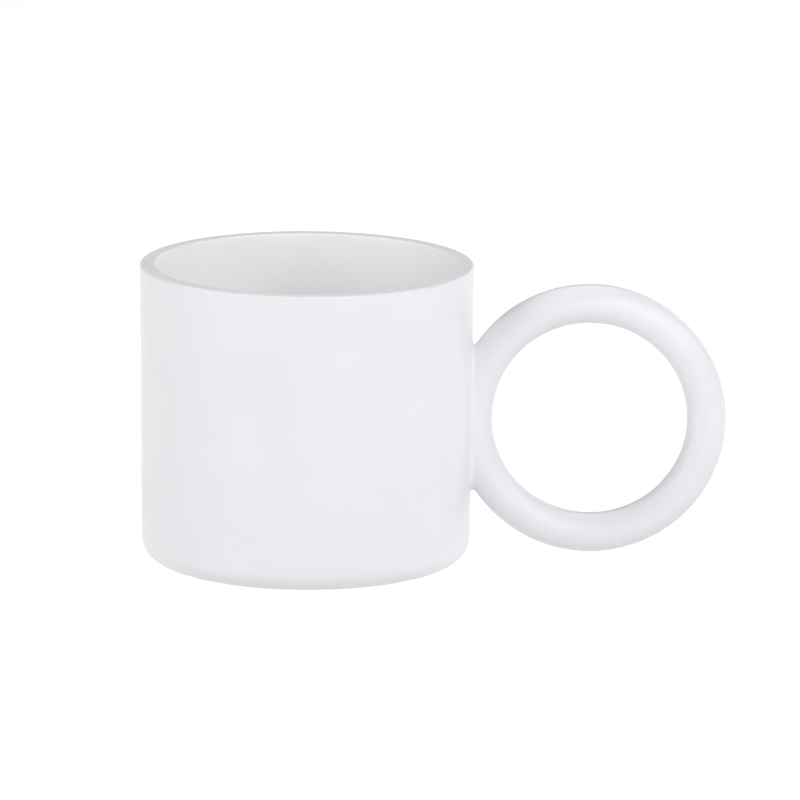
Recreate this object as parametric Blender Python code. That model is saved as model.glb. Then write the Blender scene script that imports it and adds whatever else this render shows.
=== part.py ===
"""A straight-sided ceramic mug with a round ring handle.

The fired clay pieces, the slip that joins them and the coats of glaze are separate solids.
Lengths are in metres, +Z is up and the handle is on the +X side. The foot stands on Z = 0.
The origin is the middle of the mug's footprint, handle included, so the cup's axis is off it.
"""

import math

import bmesh
import bpy
from mathutils import Matrix, Vector

# Driving dimensions of the glazed mug
RIM_RADIUS = 0.0425  # outside, at the lip
BASE_RADIUS = 0.0419  # outside, above the rounded bottom edge
HEIGHT = 0.0763
WALL = 0.0040  # clay and both coats of glaze
LIP_EDGE = 0.0006  # rounding of the lip's two edges
LIP_SEAM = 0.0010  # from the inner wall to where the outer coat ends on the lip
BASE_EDGE = 0.0052  # rounding of the bottom edge
FLOOR_TOP = 0.0070  # height of the glazed floor inside the cup
INSIDE_CORNER = 0.0060  # rounding between the floor and the wall inside

# The bare foot ring, and the glazed recess inside it
FOOT_OUTER_RADIUS = 0.0367
FOOT_WIDTH = 0.0030
RECESS_SLOPE_WIDTH = 0.0010
RECESS_HEIGHT = 0.0018

# The ring handle, a torus about a horizontal axis along Y
RING_RADIUS = 0.0298  # centreline
TUBE_RADIUS = 0.0050
RING_REACH = 0.07225  # from the cup's axis to the ring's centre
RING_HEIGHT = 0.0368  # of the ring's centre

# Layers: each coat of glaze lies on the clay with a narrow gap
GLAZE = 0.0004
GAP = 0.0003
COAT = GLAZE + GAP
SLIP_PAD = 0.0005  # joining slip between the wall and the handle's seat
SLIP_TOP = 0.0006  # how far the slip's bead climbs past the glazed wall
SLIP_FLARE = 0.0010  # how far the bead spreads round the handle's root
SLIP_FLARE_HEIGHT = 0.0018
GLAZE_FLARE = 0.0015  # the same for the glaze that runs over the bead
GLAZE_FLARE_HEIGHT = 0.0030
GLAZE_END_ANGLE = -66  # where the outer coat ends on the bottom edge's rounding, in degrees
CLAY_END_ANGLE = -72  # where the clay's rounding runs straight down to the foot

# Facets
CUP_SEGMENTS = 64
RING_SEGMENTS = 48
TUBE_SIDES = 16
MERGE_DISTANCE = 1e-6

CUP_X = (RIM_RADIUS - (RING_REACH + RING_RADIUS + TUBE_RADIUS)) / 2
RING_CENTRE = Vector((CUP_X + RING_REACH, 0, RING_HEIGHT))

FINISHES = {
    "fired_clay": {"colour": (0.80, 0.78, 0.74, 1), "roughness": 0.75},
    "joining_slip": {"colour": (0.76, 0.74, 0.70, 1), "roughness": 0.80},
    "white_glaze": {"colour": (0.87, 0.87, 0.89, 1), "roughness": 0.18},
}


def clear_scene():
    for thing in list(bpy.data.objects):
        bpy.data.objects.remove(thing, do_unlink=True)


def finish_with(thing, finish):
    """Gives the object a material of its own."""
    look = FINISHES[finish]
    material = bpy.data.materials.new(f"{thing.name}_{finish}")
    material.use_nodes = True
    shader = material.node_tree.nodes["Principled BSDF"]
    shader.inputs["Base Color"].default_value = look["colour"]
    shader.inputs["Roughness"].default_value = look["roughness"]
    shader.inputs["Metallic"].default_value = 0.0
    thing.data.materials.append(material)


def object_from(name, mesh_maker):
    """Makes an object of the bmesh that mesh_maker fills, shaded smooth except at real edges."""
    shape = bmesh.new()
    mesh_maker(shape)
    bmesh.ops.remove_doubles(shape, verts=shape.verts, dist=MERGE_DISTANCE)
    bmesh.ops.recalc_face_normals(shape, faces=shape.faces)
    mesh = bpy.data.meshes.new(name)
    shape.to_mesh(mesh)
    shape.free()
    mesh.shade_smooth()
    mesh.set_sharp_from_angle(angle=math.radians(40))
    thing = bpy.data.objects.new(name, mesh)
    bpy.context.scene.collection.objects.link(thing)
    return thing


def as_cutter(thing):
    thing.hide_render = True
    thing.display_type = "WIRE"
    return thing


def boolean(thing, operation, other):
    modifier = thing.modifiers.new(f"{operation.lower()}_{other.name}", "BOOLEAN")
    modifier.operation = operation
    modifier.object = other
    modifier.solver = "EXACT"


def arc(centre_radius, centre_height, radius, start, end, steps):
    """Points (radius, height) on an arc, from start to end degrees, 0 outwards and 90 up."""
    points = []
    for step in range(steps + 1):
        angle = math.radians(start + (end - start) * step / steps)
        points.append((centre_radius + radius * math.cos(angle), centre_height + radius * math.sin(angle)))
    return points


def lathe(name, outline, closed):
    """Turns an outline of (radius, height) points about the cup's axis.

    An open outline starts and ends on the axis.
    """

    def turn(shape):
        corners = [shape.verts.new((CUP_X + radius, 0, height)) for radius, height in outline]
        edges = [shape.edges.new(pair) for pair in zip(corners, corners[1:])]
        if closed:
            edges.append(shape.edges.new((corners[-1], corners[0])))
        bmesh.ops.spin(
            shape,
            geom=corners + edges,
            cent=(CUP_X, 0, 0),
            axis=(0, 0, 1),
            angle=math.tau,
            steps=CUP_SEGMENTS,
        )

    return object_from(name, turn)


def wall_radius(height):
    """The glazed wall's outside radius, which widens a little from the base to the lip."""
    rise = (height - BASE_EDGE) / (HEIGHT - LIP_EDGE - BASE_EDGE)
    return BASE_RADIUS + (RIM_RADIUS - BASE_RADIUS) * rise


def bottom_edge(depth, end):
    """The bottom edge's rounding, sunk by depth below the glazed surface, from the wall to end degrees."""
    return arc(BASE_RADIUS - BASE_EDGE, BASE_EDGE, BASE_EDGE - depth, 0, end, 4)


def lip_outer_edge(depth):
    """The lip's outer edge, sunk by depth: sharp where that is more than its rounding."""
    if depth >= LIP_EDGE:
        return [(RIM_RADIUS - depth, HEIGHT - depth)]
    return arc(RIM_RADIUS - LIP_EDGE, HEIGHT - LIP_EDGE, LIP_EDGE - depth, 0, 90, 3)


def lip_inner_edge(depth):
    if depth >= LIP_EDGE:
        return [(RIM_RADIUS - WALL + depth, HEIGHT - depth)]
    return arc(RIM_RADIUS - WALL + LIP_EDGE, HEIGHT - LIP_EDGE, LIP_EDGE - depth, 90, 180, 3)


def inside_surface(depth):
    """The inner wall, the rounded corner and the floor, down to the axis."""
    bottom_radius = BASE_RADIUS - WALL
    corner_radius = INSIDE_CORNER + depth
    corner = arc(bottom_radius - INSIDE_CORNER, FLOOR_TOP + INSIDE_CORNER, corner_radius, 0, -90, 4)
    return corner + [(0, FLOOR_TOP - depth)]


def recess_ceiling(depth, inset):
    """The flat ceiling of the recess under the floor, from the axis out to inset from its edge."""
    edge = FOOT_OUTER_RADIUS - FOOT_WIDTH - RECESS_SLOPE_WIDTH
    return [(0, RECESS_HEIGHT + depth), (edge - inset, RECESS_HEIGHT + depth)]


def mug_body():
    """The clay cup in one casting: wall, floor and a bare foot ring under it."""
    foot_inner = FOOT_OUTER_RADIUS - FOOT_WIDTH
    outline = (
        recess_ceiling(COAT, 0)
        + [(foot_inner, 0), (FOOT_OUTER_RADIUS, 0)]
        + list(reversed(bottom_edge(COAT, CLAY_END_ANGLE)))
        + lip_outer_edge(COAT)
        + lip_inner_edge(COAT)
        + inside_surface(COAT)
    )
    body = lathe("mug_body", outline, closed=False)
    finish_with(body, "fired_clay")


def coat_outline(surface_points, backing_points):
    """A thin skin: out along its surface and back along the side that faces the clay."""
    return surface_points + list(reversed(backing_points))


def outer_glaze(handle_opening):
    """The outside coat, from above the foot, up the wall and over the lip's flat top."""
    surface = list(reversed(bottom_edge(0, GLAZE_END_ANGLE))) + lip_outer_edge(0)
    backing = list(reversed(bottom_edge(GLAZE, GLAZE_END_ANGLE))) + lip_outer_edge(GLAZE)
    lip_end = RIM_RADIUS - WALL + LIP_SEAM
    surface.append((lip_end, HEIGHT))
    backing.append((lip_end, HEIGHT - GLAZE))
    coat = lathe("outer_glaze", coat_outline(surface, backing), closed=True)
    boolean(coat, "DIFFERENCE", handle_opening)
    finish_with(coat, "white_glaze")


def inner_glaze():
    """The liner coat, from the lip's inner edge down the wall and across the floor."""
    lip_start = RIM_RADIUS - WALL + LIP_SEAM - GAP

    def coat_side(depth):
        down_the_lip = [point for point in lip_inner_edge(depth) if point[0] < lip_start]
        downwards = [(lip_start, HEIGHT - depth)] + down_the_lip + inside_surface(depth)
        return list(reversed(downwards))

    coat = lathe("inner_glaze", coat_outline(coat_side(0), coat_side(GLAZE)), closed=False)
    finish_with(coat, "white_glaze")


def base_glaze():
    """The coat on the recess's ceiling, inside the bare foot ring."""
    outline = coat_outline(recess_ceiling(0, GAP), recess_ceiling(GLAZE, GAP))
    coat = lathe("base_glaze", outline, closed=False)
    finish_with(coat, "white_glaze")


def cup_core(name, clearance):
    """A cutter as wide as the glazed cup plus clearance, and taller than the handle."""
    bottom, top = BASE_EDGE, HEIGHT - LIP_EDGE
    outline = [
        (0, bottom),
        (wall_radius(bottom) + clearance, bottom),
        (wall_radius(top) + clearance, top),
        (0, top),
    ]
    return as_cutter(lathe(name, outline, closed=False))


def ring_solid(name, tube_radius, flare=0.0, flare_height=1.0):
    """The handle's ring. Where its tube nears the cup's wall, it swells by up to flare."""

    def turn(shape):
        tube_middle = RING_CENTRE + Vector((RING_RADIUS, 0, 0))
        circle = bmesh.ops.create_circle(
            shape, segments=TUBE_SIDES, radius=tube_radius, matrix=Matrix.Translation(tube_middle)
        )
        edges = list({edge for corner in circle["verts"] for edge in corner.link_edges})
        bmesh.ops.spin(
            shape,
            geom=circle["verts"] + edges,
            cent=RING_CENTRE,
            axis=(0, 1, 0),
            angle=math.tau,
            steps=RING_SEGMENTS,
        )
        for corner in shape.verts:
            swell(corner)

    def swell(corner):
        spoke = Vector((corner.co.x, 0, corner.co.z)) - RING_CENTRE
        tube_middle = RING_CENTRE + spoke.normalized() * RING_RADIUS
        from_wall = math.hypot(corner.co.x - CUP_X, corner.co.y) - wall_radius(corner.co.z)
        nearness = 1 - min(max(from_wall, 0) / flare_height, 1)
        corner.co += (corner.co - tube_middle).normalized() * flare * nearness**2

    return object_from(name, turn)


def ring_handle():
    """The clay ring, with a hollow seat that fits round the cup's wall."""
    ring = ring_solid("ring_handle", TUBE_RADIUS - COAT)
    boolean(ring, "DIFFERENCE", cup_core("seat_cutter", SLIP_PAD + 2 * GAP - COAT))
    finish_with(ring, "fired_clay")


def handle_slip():
    """The slip pad under the handle's seat, and the bead squeezed out round its root."""
    ring_space = as_cutter(ring_solid("ring_space_cutter", TUBE_RADIUS - COAT + GAP))
    boolean(ring_space, "DIFFERENCE", cup_core("slip_pad_core", SLIP_PAD + GAP - COAT))
    slip = ring_solid("handle_slip", TUBE_RADIUS - COAT + GAP, SLIP_FLARE, SLIP_FLARE_HEIGHT)
    boolean(slip, "INTERSECT", cup_core("slip_top_core", SLIP_TOP))
    boolean(slip, "DIFFERENCE", cup_core("clay_wall_cutter", GAP - COAT))
    boolean(slip, "DIFFERENCE", ring_space)
    finish_with(slip, "joining_slip")


def handle_glaze():
    """The coat on the ring, which spreads over the slip's bead and ends at the cup's wall."""
    coat = ring_solid("handle_glaze", TUBE_RADIUS, GLAZE_FLARE, GLAZE_FLARE_HEIGHT)
    inside = ring_solid("handle_glaze_cutter", TUBE_RADIUS - GLAZE, GLAZE_FLARE, GLAZE_FLARE_HEIGHT)
    boolean(coat, "DIFFERENCE", cup_core("glazed_wall_cutter", -GLAZE))
    boolean(coat, "DIFFERENCE", as_cutter(inside))
    finish_with(coat, "white_glaze")


def main():
    clear_scene()
    mug_body()
    inner_glaze()
    base_glaze()
    opening = ring_solid("handle_opening_cutter", TUBE_RADIUS + GAP, GLAZE_FLARE, GLAZE_FLARE_HEIGHT)
    outer_glaze(as_cutter(opening))
    ring_handle()
    handle_slip()
    handle_glaze()


main()
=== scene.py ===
import math

import bmesh
import bpy
import numpy as np
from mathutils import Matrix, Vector


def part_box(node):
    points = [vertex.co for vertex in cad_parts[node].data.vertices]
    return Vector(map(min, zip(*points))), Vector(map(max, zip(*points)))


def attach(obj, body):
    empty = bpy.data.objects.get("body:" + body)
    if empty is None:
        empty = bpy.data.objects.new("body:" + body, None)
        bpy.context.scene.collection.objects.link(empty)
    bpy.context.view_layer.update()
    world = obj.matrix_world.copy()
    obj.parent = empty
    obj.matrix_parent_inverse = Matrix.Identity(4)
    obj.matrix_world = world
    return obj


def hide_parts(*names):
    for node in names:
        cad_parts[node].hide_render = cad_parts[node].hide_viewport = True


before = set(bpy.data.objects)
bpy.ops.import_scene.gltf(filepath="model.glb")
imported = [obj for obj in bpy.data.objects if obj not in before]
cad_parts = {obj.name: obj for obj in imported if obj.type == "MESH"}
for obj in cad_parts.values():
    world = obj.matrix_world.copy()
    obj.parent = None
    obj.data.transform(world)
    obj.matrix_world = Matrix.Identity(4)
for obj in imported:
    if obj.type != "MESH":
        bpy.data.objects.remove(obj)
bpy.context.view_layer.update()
print("frame loaded,", len(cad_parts), "nodes")


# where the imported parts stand

outerLow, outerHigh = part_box("outer_glaze")
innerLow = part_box("inner_glaze")[0]
handleLow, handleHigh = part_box("handle_glaze")

cup = {
    "rimRadius": (outerHigh[1] - outerLow[1]) / 2,
    "baseRadius": 0.0419,  # just above the rounded bottom edge
    "height": outerHigh[2],
    "wall": 0.0040,  # clay with both coats
    "coat": 0.0004,  # how thick the glaze lies
    "lipEdge": 0.0006,
    "baseEdge": 0.0052,
    "insideCorner": 0.0060,
    "lipSeam": 0.0392,  # radius where the inner coat meets the outer one
    "corners": 256,
}
cup["axisX"] = outerLow[0] + cup["rimRadius"]
cup["floorTop"] = innerLow[2] + cup["coat"]

ring = {
    "tube": 0.0050,
    "outside": (handleHigh[2] - handleLow[2]) / 2,
    "filletTop": 0.0012,  # where the glaze runs from the ring onto the wall
    "filletFoot": 0.0024,  # more of it gathers under the ring
}
ring["radius"] = ring["outside"] - ring["tube"]
ring["x"] = handleHigh[0] - ring["outside"]
ring["z"] = (handleHigh[2] + handleLow[2]) / 2


# small helpers

def onlySelect(piece):
    bpy.ops.object.select_all(action="DESELECT")
    piece.select_set(True)
    bpy.context.view_layer.objects.active = piece


def settle(piece):  # puts the object's place and size into its mesh
    onlySelect(piece)
    bpy.ops.object.transform_apply(location=True, rotation=True, scale=True)


def openEdit(piece):
    onlySelect(piece)
    bpy.ops.object.mode_set(mode="EDIT")
    bpy.ops.mesh.select_all(action="DESELECT")


def closeEdit():
    bpy.ops.object.mode_set(mode="OBJECT")


def pick(piece, kind, wanted):  # selects what has all its corners where they are wanted
    bpy.ops.mesh.select_mode(type=kind)
    bpy.ops.mesh.select_all(action="DESELECT")
    shape = bmesh.from_edit_mesh(piece.data)
    parts = {"VERT": shape.verts, "EDGE": shape.edges, "FACE": shape.faces}[kind]
    for part in parts:
        corners = [part] if kind == "VERT" else part.verts
        if all(wanted(corner.co) for corner in corners):
            part.select_set(True)
    shape.select_flush_mode()
    bmesh.update_edit_mesh(piece.data)


def near(value, target, slack=1e-5):
    return abs(value - target) < slack


def fromAxis(co):
    return math.hypot(co.x - cup["axisX"], co.y)


def wallRadius(z):  # the glazed wall widens a little from the base to the lip
    rise = (z - cup["baseEdge"]) / (cup["height"] - cup["lipEdge"] - cup["baseEdge"])
    return cup["baseRadius"] + (cup["rimRadius"] - cup["baseRadius"]) * rise


def resizeLoop(piece, z, radius, newRadius):  # widens or narrows one ring of corners about the axis
    pick(piece, "VERT", lambda co: near(co.z, z) and near(fromAxis(co), radius))
    ratio = newRadius / radius
    bpy.ops.transform.resize(value=(ratio, ratio, 1), center_override=(cup["axisX"], 0, z))


def roundLoop(piece, z, radius, size, segments):  # bevels one ring of edges about the axis
    pick(piece, "EDGE", lambda co: near(co.z, z) and near(fromAxis(co), radius))
    bpy.ops.mesh.bevel(offset=size, offset_type="OFFSET", segments=segments, profile=0.5, affect="EDGES")


def cutWall(piece, low, high, cuts):  # rings of edges up a tall stretch of wall
    bpy.ops.mesh.select_mode(type="EDGE")
    bpy.ops.mesh.select_all(action="DESELECT")
    shape = bmesh.from_edit_mesh(piece.data)
    for edge in shape.edges:
        heights = sorted(corner.co.z for corner in edge.verts)
        if near(heights[0], low, 1e-4) and near(heights[1], high, 1e-4):
            edge.select_set(True)
    bmesh.update_edit_mesh(piece.data)
    bpy.ops.mesh.subdivide(number_cuts=cuts)


def fillFlat(piece, z, radius, rings):  # turns a flat round face into rings of faces about a middle point
    pick(piece, "FACE", lambda co: near(co.z, z) and fromAxis(co) < radius + 1e-5)
    for step in range(rings):
        bpy.ops.mesh.inset(thickness=radius / (rings + 1), depth=0)
    bpy.ops.mesh.poke()


def addCylinder(name, radius, bottom, top, corners):
    bpy.ops.object.select_all(action="DESELECT")
    bpy.ops.mesh.primitive_cylinder_add(
        vertices=corners,
        radius=radius,
        depth=top - bottom,
        location=(cup["axisX"], 0, (top + bottom) / 2),
    )
    piece = bpy.context.object
    piece.name = piece.data.name = name
    settle(piece)
    return piece


def thicken(piece, thickness):  # a coat goes in from its surface
    onlySelect(piece)
    solid = piece.modifiers.new("thickness", "SOLIDIFY")
    solid.thickness = thickness
    solid.offset = -1
    solid.use_even_offset = True
    bpy.ops.object.modifier_apply(modifier=solid.name)


def finishPiece(piece, material, node):
    onlySelect(piece)
    bpy.ops.object.shade_smooth_by_angle(angle=math.radians(35))
    piece.data.materials.clear()
    piece.data.materials.append(material)
    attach(piece, "root")
    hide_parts(node)
    print(piece.name, "made,", len(piece.data.polygons), "faces")


# the finishes

def newMaterial(name):
    material = bpy.data.materials.new(name)
    material.use_nodes = True
    tree = material.node_tree
    shader = tree.nodes["Principled BSDF"]
    return material, tree, shader


def noiseAt(tree, coordinates, scale, detail, roughness=0.5):
    noise = tree.nodes.new("ShaderNodeTexNoise")
    noise.inputs["Scale"].default_value = scale
    noise.inputs["Detail"].default_value = detail
    noise.inputs["Roughness"].default_value = roughness
    tree.links.new(coordinates.outputs["Object"], noise.inputs["Vector"])
    return noise


def colourRamp(tree, source, stops):
    ramp = tree.nodes.new("ShaderNodeValToRGB")
    for index, (place, colour) in enumerate(stops):
        stop = ramp.color_ramp.elements[index] if index < 2 else ramp.color_ramp.elements.new(place)
        stop.position = place
        stop.color = (*colour, 1)
    tree.links.new(source, ramp.inputs["Fac"])
    return ramp


def spread(tree, source, low, high):  # stretches a noise's middle range to low and high
    mapping = tree.nodes.new("ShaderNodeMapRange")
    mapping.inputs["From Min"].default_value = 0.3
    mapping.inputs["From Max"].default_value = 0.7
    mapping.inputs["To Min"].default_value = low
    mapping.inputs["To Max"].default_value = high
    tree.links.new(source, mapping.inputs["Value"])
    return mapping


def bumpFrom(tree, source, strength, distance, under=None):
    bump = tree.nodes.new("ShaderNodeBump")
    bump.inputs["Strength"].default_value = strength
    bump.inputs["Distance"].default_value = distance
    tree.links.new(source, bump.inputs["Height"])
    if under:
        tree.links.new(under.outputs["Normal"], bump.inputs["Normal"])
    return bump


glazeLook = {
    "thin": (0.892, 0.885, 0.918),  # where the coat lies thinner
    "thick": (0.912, 0.905, 0.938),
    "cloudScale": 45,
    "glossLow": 0.30,
    "glossHigh": 0.38,
    "peelScale": 420,
    "peelDepth": 0.00002,
    "waveScale": 60,
    "waveDepth": 0.00012,
    "bumpStrength": 0.5,
}


def makeGlaze(name, look):
    material, tree, shader = newMaterial(name)
    coordinates = tree.nodes.new("ShaderNodeTexCoord")
    clouds = noiseAt(tree, coordinates, look["cloudScale"], 4)
    tint = colourRamp(tree, clouds.outputs["Fac"], [(0.35, look["thin"]), (0.65, look["thick"])])
    tree.links.new(tint.outputs["Color"], shader.inputs["Base Color"])
    smears = noiseAt(tree, coordinates, look["cloudScale"] * 3, 3)
    gloss = spread(tree, smears.outputs["Fac"], look["glossLow"], look["glossHigh"])
    tree.links.new(gloss.outputs["Result"], shader.inputs["Roughness"])
    waves = noiseAt(tree, coordinates, look["waveScale"], 1)
    slow = bumpFrom(tree, waves.outputs["Fac"], look["bumpStrength"], look["waveDepth"])
    peel = noiseAt(tree, coordinates, look["peelScale"], 2)
    fine = bumpFrom(tree, peel.outputs["Fac"], look["bumpStrength"], look["peelDepth"], slow)
    tree.links.new(fine.outputs["Normal"], shader.inputs["Normal"])
    shader.inputs["IOR"].default_value = 1.5
    shader.inputs["Metallic"].default_value = 0
    return material


clayLook = {
    "dark": (0.74, 0.72, 0.68),
    "light": (0.86, 0.845, 0.81),
    "grainScale": 2600,
    "grainDepth": 0.00006,
    "patchScale": 160,
    "dry": 0.82,
    "burnished": 0.62,
    "bumpStrength": 0.8,
}


def makeClay(name, look):
    material, tree, shader = newMaterial(name)
    coordinates = tree.nodes.new("ShaderNodeTexCoord")
    patches = noiseAt(tree, coordinates, look["patchScale"], 5, 0.6)
    tint = colourRamp(tree, patches.outputs["Fac"], [(0.3, look["dark"]), (0.6, look["light"])])
    tree.links.new(tint.outputs["Color"], shader.inputs["Base Color"])
    grain = noiseAt(tree, coordinates, look["grainScale"], 3, 0.7)
    rough = spread(tree, grain.outputs["Fac"], look["burnished"], look["dry"])
    tree.links.new(rough.outputs["Result"], shader.inputs["Roughness"])
    pitted = bumpFrom(tree, grain.outputs["Fac"], look["bumpStrength"], look["grainDepth"])
    tree.links.new(pitted.outputs["Normal"], shader.inputs["Normal"])
    return material


whiteGlaze = makeGlaze("whiteGlaze", glazeLook)
insidePaintedLightLook = {**glazeLook, "thin": (0.932, 0.929, 0.945), "thick": (0.947, 0.944, 0.960)}  # a little whiter than the outer glaze: painted light, which lifts the inside of the cup where less light reaches
insidePaintedLightGlaze = makeGlaze("insidePaintedLightGlaze", insidePaintedLightLook)
firedClay = makeClay("firedClay", clayLook)
slipLook = {**clayLook, "light": (0.80, 0.785, 0.75), "patchScale": 320}
joiningSlip = makeClay("joiningSlip", slipLook)
print("finishes mixed")


# the outer coat: up from above the foot, and over the lip

outerCoat = {
    "lipSteps": 8,
    "baseSteps": 12,
    "glazeLine": 0.0004,  # the coat stops this high, so that the foot stays bare
    "edgeRound": 0.00014,
    "edgeZone": 0.0022,  # only sharp edges lower than this are the coat's end
    "edgeSteps": 3,
    "wallRings": 23,
}


def makeOuterCoat():
    top, rim = cup["height"], cup["rimRadius"]
    piece = addCylinder("outerCoat", rim, 0, top, cup["corners"])
    openEdit(piece)
    resizeLoop(piece, 0, rim, cup["baseRadius"])
    pick(piece, "FACE", lambda co: near(co.z, top))
    bpy.ops.mesh.inset(thickness=rim - cup["lipSeam"], depth=0)
    roundLoop(piece, top, rim, cup["lipEdge"], outerCoat["lipSteps"])
    roundLoop(piece, 0, cup["baseRadius"], cup["baseEdge"], outerCoat["baseSteps"])
    pick(piece, "FACE", lambda co: near(co.z, top) and fromAxis(co) < cup["lipSeam"] + 1e-5)
    bpy.ops.mesh.delete(type="FACE")
    pick(piece, "FACE", lambda co: co.z < outerCoat["glazeLine"] + 0.0001)
    bpy.ops.mesh.delete(type="FACE")
    cutWall(piece, cup["baseEdge"], top - cup["lipEdge"], outerCoat["wallRings"])
    closeEdit()
    thicken(piece, cup["coat"])
    roundCoatEnd(piece)
    finishPiece(piece, whiteGlaze, "outer_glaze")


def roundCoatEnd(piece):  # softens the coat's lower end, where it stops above the foot
    openEdit(piece)
    bpy.ops.mesh.select_mode(type="EDGE")
    shape = bmesh.from_edit_mesh(piece.data)
    sharp = math.radians(60)
    for edge in shape.edges:
        low = edge.verts[0].co.z
        level = near(low, edge.verts[1].co.z, 1e-6)
        if level and low < outerCoat["edgeZone"] and edge.calc_face_angle(0) > sharp:
            edge.select_set(True)
    bmesh.update_edit_mesh(piece.data)
    size, steps = outerCoat["edgeRound"], outerCoat["edgeSteps"]
    bpy.ops.mesh.bevel(offset=size, segments=steps, profile=0.5, affect="EDGES")
    closeEdit()


makeOuterCoat()


# the inner coat: from the lip's seam down the wall and across the floor

innerCoat = {
    "lipSteps": 8,
    "cornerSteps": 16,
    "wallRings": 21,
    "floorRings": 5,
}


def makeInnerCoat():
    top, bottom = cup["height"], cup["floorTop"]
    mouth = cup["rimRadius"] - cup["wall"]
    narrow = cup["baseRadius"] - cup["wall"]
    piece = addCylinder("innerCoat", mouth, bottom, top, cup["corners"])
    openEdit(piece)
    resizeLoop(piece, bottom, mouth, narrow)
    pick(piece, "FACE", lambda co: near(co.z, top))
    bpy.ops.mesh.delete(type="ONLY_FACE")
    pick(piece, "EDGE", lambda co: near(co.z, top))
    bpy.ops.mesh.extrude_region_move(TRANSFORM_OT_translate={"value": (0, 0, 0)})
    ratio = cup["lipSeam"] / mouth
    bpy.ops.transform.resize(value=(ratio, ratio, 1), center_override=(cup["axisX"], 0, top))
    roundLoop(piece, top, mouth, cup["lipEdge"], innerCoat["lipSteps"])
    roundLoop(piece, bottom, narrow, cup["insideCorner"], innerCoat["cornerSteps"])
    cutWall(piece, bottom + cup["insideCorner"], top - cup["lipEdge"], innerCoat["wallRings"])
    fillFlat(piece, bottom, narrow - cup["insideCorner"], innerCoat["floorRings"])
    bpy.ops.mesh.select_all(action="SELECT")
    bpy.ops.mesh.flip_normals()
    closeEdit()
    thicken(piece, cup["coat"])
    finishPiece(piece, insidePaintedLightGlaze, "inner_glaze")


makeInnerCoat()


# the clay cup under the coats, bare only at its foot

clayCup = {
    "footWidth": 0.0030,
    "footRound": 0.0003,
    "footSteps": 3,
    "recess": 0.0022,  # how high the clay's hollow underside lies
    "recessSlope": 0.0010,
    "recessRings": 3,
    "baseSteps": 12,
    "lipSteps": 4,
    "cornerSteps": 12,
}


def makeClayCup():
    coat = cup["coat"]
    top, rim, base = cup["height"] - coat, cup["rimRadius"] - coat, cup["baseRadius"] - coat
    mouth = cup["rimRadius"] - cup["wall"] + coat
    narrow = cup["baseRadius"] - cup["wall"] + coat
    floor = cup["floorTop"] - coat
    footOuter = cup["baseRadius"] - cup["baseEdge"]
    footInner = footOuter - clayCup["footWidth"]
    hollow = footInner - clayCup["recessSlope"]
    piece = addCylinder("clayCup", rim, 0, top, cup["corners"])
    openEdit(piece)
    resizeLoop(piece, 0, rim, base)
    pick(piece, "FACE", lambda co: near(co.z, top))
    bpy.ops.mesh.inset(thickness=rim - mouth, depth=0)
    bpy.ops.mesh.extrude_region_move(TRANSFORM_OT_translate={"value": (0, 0, floor - top)})
    resizeLoop(piece, floor, mouth, narrow)
    roundLoop(piece, top, rim, cup["lipEdge"] - coat, clayCup["lipSteps"])
    roundLoop(piece, top, mouth, cup["lipEdge"] - coat, clayCup["lipSteps"])
    roundLoop(piece, floor, narrow, cup["insideCorner"] + coat, clayCup["cornerSteps"])
    roundLoop(piece, 0, base, cup["baseEdge"] - coat, clayCup["baseSteps"])
    pick(piece, "FACE", lambda co: near(co.z, 0))
    bpy.ops.mesh.inset(thickness=footOuter - footInner, depth=0)
    bpy.ops.mesh.extrude_region_move(TRANSFORM_OT_translate={"value": (0, 0, clayCup["recess"])})
    resizeLoop(piece, clayCup["recess"], footInner, hollow)
    roundLoop(piece, 0, footInner, clayCup["footRound"], clayCup["footSteps"])
    fillFlat(piece, clayCup["recess"], hollow, clayCup["recessRings"])
    closeEdit()
    finishPiece(piece, firedClay, "mug_body")


makeClayCup()


# the coat in the hollow underside, which curves down its side and stops above the foot

baseCoat = {
    "surface": 0.0018,
    "end": 0.0007,  # height of the coat's edge on the slope
    "cornerRound": 0.0009,
    "steps": 6,
    "rings": 6,
}


def makeBaseCoat():
    footInner = cup["baseRadius"] - cup["baseEdge"] - clayCup["footWidth"]
    slope = clayCup["recessSlope"] / clayCup["recess"]
    ceiling, end = baseCoat["surface"], baseCoat["end"]
    inset = cup["coat"]
    topRadius = footInner - ceiling * slope - inset
    endRadius = footInner - end * slope - inset
    piece = addCylinder("baseCoat", topRadius, end, ceiling, cup["corners"])
    openEdit(piece)
    resizeLoop(piece, end, topRadius, endRadius)
    pick(piece, "FACE", lambda co: near(co.z, end))
    bpy.ops.mesh.delete(type="ONLY_FACE")
    roundLoop(piece, ceiling, topRadius, baseCoat["cornerRound"], baseCoat["steps"])
    fillFlat(piece, ceiling, topRadius - baseCoat["cornerRound"], baseCoat["rings"])
    bpy.ops.mesh.select_all(action="SELECT")
    bpy.ops.mesh.flip_normals()
    closeEdit()
    thicken(piece, cup["coat"])
    finishPiece(piece, whiteGlaze, "base_glaze")


makeBaseCoat()


# the ring handle's coat, made solid through, which runs onto the wall in a small fillet

handleCoat = {
    "ringCorners": (192, 48),  # round the ring, and round its tube
    "windowCorners": 64,
    "windowReach": 3,  # the window's depth, in tube widths
    "voxel": 0.0004,
    "sink": 0.000004,  # the fillet ends this far under the wall's surface, out of sight
    "skirt": 0.0035,  # how far the hidden part reaches past the ring's root
    "skirtDepth": 0.0012,
    "steps": 8,  # corners are moved in this many steps,
    "turns": 4,  # this many times over,
    "smoothing": 4,  # and evened out this often between
    "leastSteepness": 0.1,
    "probe": 1e-6,
}


def ringDistance(points):
    outward = np.hypot(points[:, 0] - ring["x"], points[:, 2] - ring["z"]) - ring["radius"]
    return np.hypot(outward, points[:, 1]) - ring["tube"]


def wallDistance(points):
    return np.hypot(points[:, 0] - cup["axisX"], points[:, 1]) - wallRadius(points[:, 2])


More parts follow.
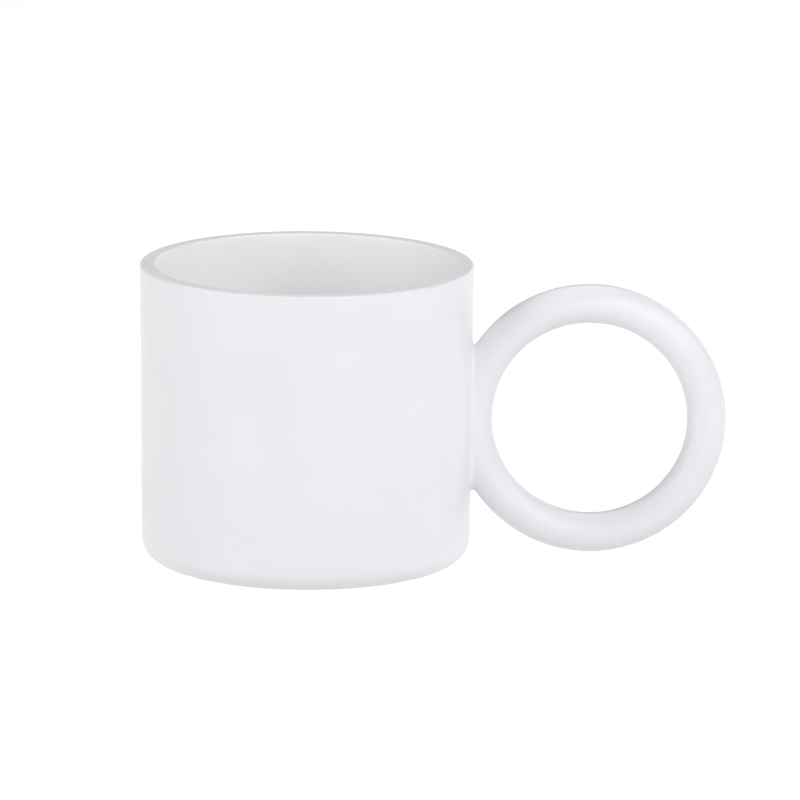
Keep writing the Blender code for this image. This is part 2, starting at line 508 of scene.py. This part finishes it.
def joinedDistance(points):  # the ring and the wall as one surface, with a round fillet between them
    drop = np.clip((ring["z"] - points[:, 2]) / ring["outside"], 0, 1)
    fillet = ring["filletTop"] + (ring["filletFoot"] - ring["filletTop"]) * drop
    both = np.stack([ringDistance(points), wallDistance(points) + handleCoat["sink"]])
    inFillet = np.maximum(fillet - both, 0)
    return np.maximum(fillet, both.min(axis=0)) - np.hypot(inFillet[0], inFillet[1])


def slopeOf(field, points):
    slope = np.zeros_like(points)
    for axis in range(3):
        shift = np.zeros(3)
        shift[axis] = handleCoat["probe"]
        slope[:, axis] = (field(points + shift) - field(points - shift)) / (2 * handleCoat["probe"])
    return slope


def combine(piece, operation, other):
    onlySelect(piece)
    cut = piece.modifiers.new("combine", "BOOLEAN")
    cut.operation = operation
    cut.object = other
    bpy.ops.object.modifier_apply(modifier=cut.name)
    bpy.data.objects.remove(other, do_unlink=True)


def addRing(name, tube):
    bpy.ops.object.select_all(action="DESELECT")
    bpy.ops.mesh.primitive_torus_add(
        major_radius=ring["radius"],
        minor_radius=tube,
        major_segments=handleCoat["ringCorners"][0],
        minor_segments=handleCoat["ringCorners"][1],
        location=(ring["x"], 0, ring["z"]),
        rotation=(math.pi / 2, 0, 0),
    )
    piece = bpy.context.object
    piece.name = piece.data.name = name
    settle(piece)
    return piece


def addCore(name, clearance):  # the cup's wall as a solid, wider by clearance
    low, high = cup["baseEdge"], cup["height"] - cup["lipEdge"]
    piece = addCylinder(name, wallRadius(high) + clearance, low, high, cup["corners"])
    openEdit(piece)
    resizeLoop(piece, low, wallRadius(high) + clearance, wallRadius(low) + clearance)
    closeEdit()
    return piece


def makeHandleCoat():
    reach = math.sqrt(ring["outside"] ** 2 - (ring["x"] - cup["axisX"] - cup["rimRadius"]) ** 2)
    skirt = handleCoat["skirt"]
    piece = addRing("handleCoat", ring["tube"])
    patch = addCore("patch", -handleCoat["sink"])
    bpy.ops.object.select_all(action="DESELECT")
    bpy.ops.mesh.primitive_cylinder_add(
        vertices=handleCoat["windowCorners"],
        radius=1,
        depth=2 * ring["tube"] * handleCoat["windowReach"],
        rotation=(0, math.pi / 2, 0),
    )
    window = bpy.context.object
    window.scale = (reach + 2 * skirt, ring["tube"] + skirt, 1)
    window.location = (cup["axisX"] + cup["rimRadius"], 0, ring["z"])
    settle(window)
    combine(patch, "INTERSECT", window)
    combine(piece, "UNION", patch)
    combine(piece, "DIFFERENCE", addCore("inside", -handleCoat["skirtDepth"]))
    onlySelect(piece)
    remesh = piece.modifiers.new("remesh", "REMESH")
    remesh.mode = "VOXEL"
    remesh.voxel_size = handleCoat["voxel"]
    bpy.ops.object.modifier_apply(modifier=remesh.name)
    onlySelect(piece)
    bpy.ops.object.shade_smooth()
    drawOntoSurface(piece)
    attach(piece, "root")
    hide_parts("handle_glaze")
    piece.data.materials.clear()
    piece.data.materials.append(whiteGlaze)
    print(piece.name, "made,", len(piece.data.polygons), "faces")


def cornerValues(mesh, what):
    values = np.zeros(len(mesh.vertices) * 3)
    mesh.vertices.foreach_get(what, values)
    return values.reshape(-1, 3)


def drawn(points):  # moved along the slope until they lie on the round surface
    for step in range(handleCoat["steps"]):
        slope = slopeOf(joinedDistance, points)
        steepness = np.maximum((slope**2).sum(axis=1), handleCoat["leastSteepness"])
        points = points - slope * (joinedDistance(points) / steepness)[:, None]
    return points


def evenOut(piece, which):  # spreads out the corners that crowd in the narrow gap under the ring
    openEdit(piece)
    bpy.ops.mesh.select_mode(type="VERT")
    closeEdit()
    piece.data.vertices.foreach_set("select", which)
    bpy.ops.object.mode_set(mode="EDIT")
    bpy.ops.mesh.vertices_smooth(factor=0.5, repeat=handleCoat["smoothing"])
    closeEdit()


def drawOntoSurface(piece):  # moves each outer corner onto the true round shape, and takes its normal from it
    mesh = piece.data
    points = cornerValues(mesh, "co")
    outer = wallDistance(points) > -2 * handleCoat["voxel"]  # all but the hidden back of the skirt
    for turn in range(handleCoat["turns"]):
        if turn > 0:
            evenOut(piece, outer)
            points = cornerValues(mesh, "co")
        points[outer] = drawn(points[outer])
        mesh.vertices.foreach_set("co", points.ravel())
        mesh.update()
    normals = cornerValues(mesh, "normal")
    slope = slopeOf(joinedDistance, points[outer])
    normals[outer] = slope / np.linalg.norm(slope, axis=1)[:, None]
    mesh.normals_split_custom_set_from_vertices(normals)


makeHandleCoat()


# the clay ring and its slip stay as packed, hidden inside the solid coat

hiddenParts = {"ring_handle": firedClay, "handle_slip": joiningSlip}
for node, material in hiddenParts.items():
    part = bpy.data.objects[node]
    part.data.materials.clear()
    part.data.materials.append(material)
print("hidden clay finished")


# the floor

floorLook = {
    "size": 12,
    "light": (0.93, 0.93, 0.93),
    "shade": (0.91, 0.91, 0.91),
    "cloudScale": 3,
    "roughness": 0.9,
    "paintedLightGlow": 0.48,  # the pale sheet glows evenly: painted light, which keeps the floor white and washes out the mug's shadow on it
}


def makeFloor():
    bpy.ops.object.select_all(action="DESELECT")
    bpy.ops.mesh.primitive_circle_add(vertices=128, radius=floorLook["size"], fill_type="NGON")
    floor = bpy.context.object
    floor.name = "paleFloor"
    material, tree, shader = newMaterial("paleFloor")
    coordinates = tree.nodes.new("ShaderNodeTexCoord")
    clouds = noiseAt(tree, coordinates, floorLook["cloudScale"], 3)
    tint = colourRamp(tree, clouds.outputs["Fac"], [(0.3, floorLook["shade"]), (0.7, floorLook["light"])])
    tree.links.new(tint.outputs["Color"], shader.inputs["Base Color"])
    shader.inputs["Roughness"].default_value = floorLook["roughness"]
    shader.inputs["Emission Color"].default_value = (1, 1, 1, 1)
    shader.inputs["Emission Strength"].default_value = floorLook["paintedLightGlow"]
    floor.data.materials.append(material)
    floor.visible_diffuse = floor.visible_shadow = False  # the room below stands in for what it throws back


makeFloor()
print("floor laid")


# light and camera

panel = {  # soft panels on stands: how far out each kind stands, and how much higher than the mug
    "size": 0.8,
    "low": (1.28, 0.36),
    "high": (1.065, 0.74),
    "over": (0.65, 1.12),
}
lights = {  # each panel's bearing, from straight in front round to the handle's side, and its power
    "key": {"bearing": 30, "stands": "high", "watts": 4.3},
    "front": {"bearing": 20, "stands": "low", "watts": 3.2},
    "left": {"bearing": -50, "stands": "low", "watts": 3.1},
    "sideRight": {"bearing": 80, "stands": "high", "watts": 4.6},
    "sideLeft": {"bearing": -80, "stands": "high", "watts": 5.2},
    "backRight": {"bearing": 150, "stands": "low", "watts": 1.8},
    "back": {"bearing": 180, "stands": "over", "watts": 3.6},
}
room = {  # how bright the soft room is, from straight down to straight up
    "under": 0.70,
    "below": 0.53,
    "level": 0.51,
    "above": 0.0,
}


def aimAt(thing, target):
    towards = target - thing.location
    thing.rotation_euler = towards.to_track_quat("-Z", "Y").to_euler()


def makeLights(target):
    for name, light in lights.items():
        bearing = math.radians(light["bearing"])
        out, up = panel[light["stands"]]
        place = (target.x + out * math.sin(bearing), target.y - out * math.cos(bearing), target.z + up)
        bpy.ops.object.light_add(type="AREA", location=place)
        lamp = bpy.context.object
        lamp.name = name + "Light"
        lamp.data.size = panel["size"]
        lamp.data.energy = light["watts"]
        aimAt(lamp, target)
    world = bpy.data.worlds.new("softRoom")
    bpy.context.scene.world = world
    world.use_nodes = True
    tree = world.node_tree
    direction = tree.nodes.new("ShaderNodeTexCoord")
    split = tree.nodes.new("ShaderNodeSeparateXYZ")
    tree.links.new(direction.outputs["Generated"], split.inputs["Vector"])
    height = tree.nodes.new("ShaderNodeMapRange")
    height.inputs["From Min"].default_value = -1
    tree.links.new(split.outputs["Z"], height.inputs["Value"])
    heights = {"under": 0, "below": 0.45, "level": 0.55, "above": 0.85}
    shades = [(place, (room[name],) * 3) for name, place in heights.items()]
    fade = colourRamp(tree, height.outputs["Result"], shades)
    tree.links.new(fade.outputs["Color"], tree.nodes["Background"].inputs["Color"])


cameraSet = {
    "side": 0.02387,  # the view's middle, from the cup's axis towards the handle
    "height": 0.04094,
    "distance": 2.068,
    "elevation": 12.41,
    "azimuth": 0.64,
    "roll": 0.449,
    "lens": 364.9,
}


def makeCamera(target):
    azimuth, elevation = math.radians(cameraSet["azimuth"]), math.radians(cameraSet["elevation"])
    level = Vector((math.sin(azimuth), -math.cos(azimuth), 0))
    back = level * math.cos(elevation) + Vector((0, 0, math.sin(elevation)))
    bpy.ops.object.camera_add(location=target + back * cameraSet["distance"])
    camera = bpy.context.object
    camera.data.lens = cameraSet["lens"]
    camera.data.sensor_width = 36
    facing = (-back).to_track_quat("-Z", "Y")
    camera.rotation_euler = facing.to_euler()
    camera.rotation_euler.rotate_axis("Z", math.radians(cameraSet["roll"]))
    bpy.context.scene.camera = camera


viewTarget = Vector((cup["axisX"] + cameraSet["side"], 0, cameraSet["height"]))
makeLights(viewTarget)
makeCamera(viewTarget)
bpy.context.scene.view_settings.view_transform = "Standard"
print("lights and camera set")
